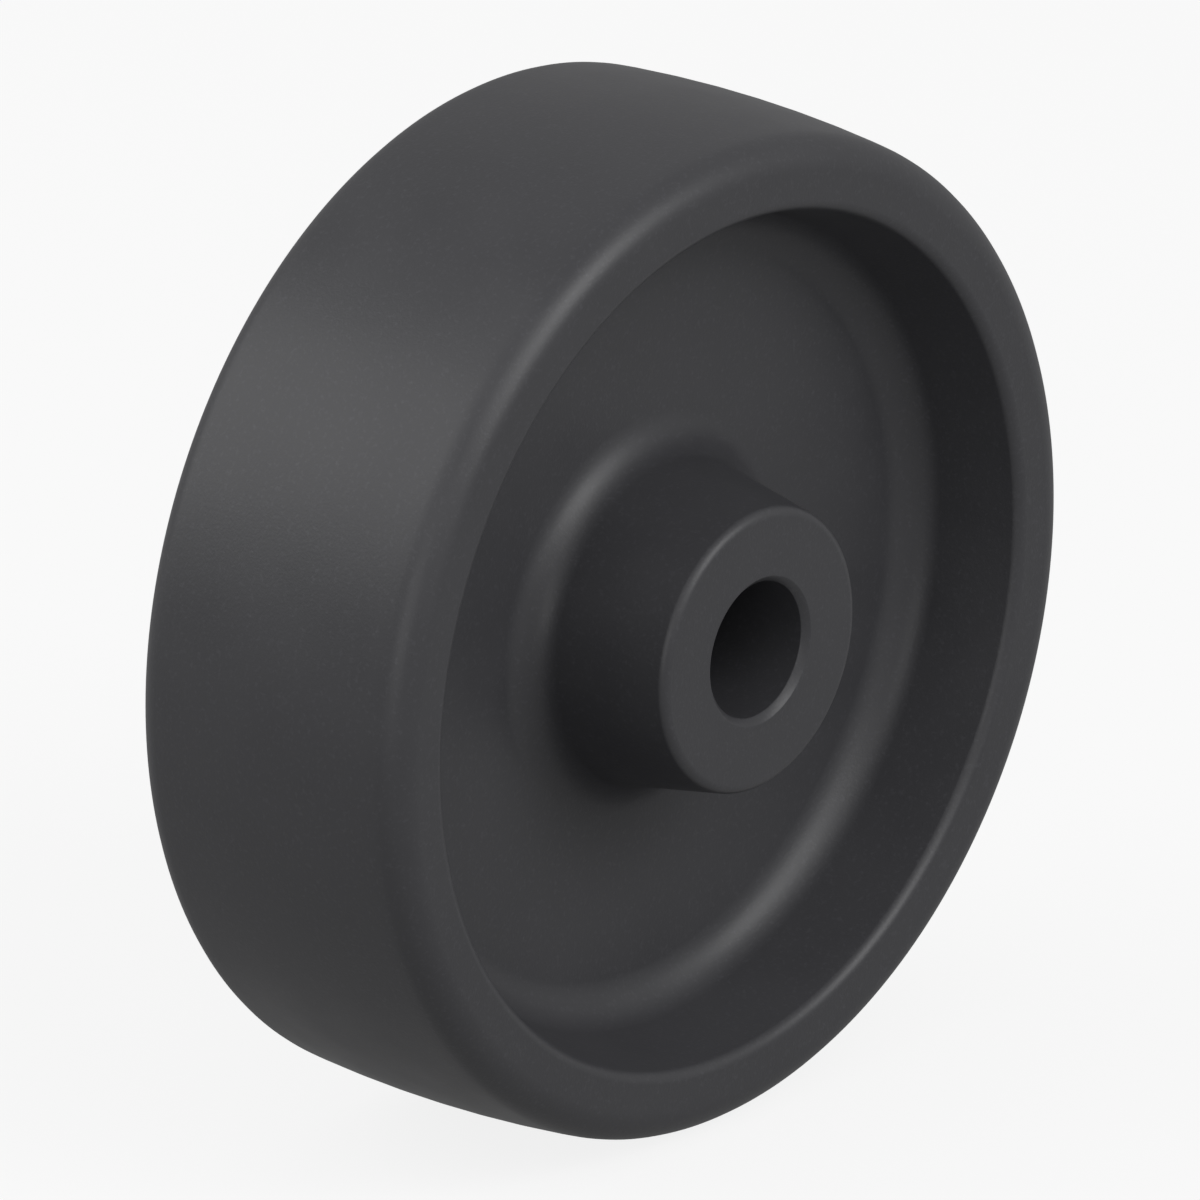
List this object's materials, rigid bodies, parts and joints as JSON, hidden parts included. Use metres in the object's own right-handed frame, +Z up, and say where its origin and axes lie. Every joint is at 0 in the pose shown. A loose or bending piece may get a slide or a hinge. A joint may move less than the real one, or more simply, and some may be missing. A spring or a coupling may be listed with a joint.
{
  "type": "caster wheel",
  "caption": "Plain-bore caster wheel moulded in one piece, with a crowned tread, a web set in from both faces and a drafted hub longer than the rim is wide.",
  "frame": {"origin": "centre of the wheel, on the bore's axis at the mid plane", "axes": "+Y along the bore, which the wheel spins about; +Z up, with the wheel upright on its tread"},
  "size_m": [0.15, 0.06, 0.15],
  "materials": {
    "moulded_body": "as moulded, satin, dark anthracite grey"
  },
  "bodies": {
    "root": {"wheel": "moulded_body"}
  },
  "joints": []
}
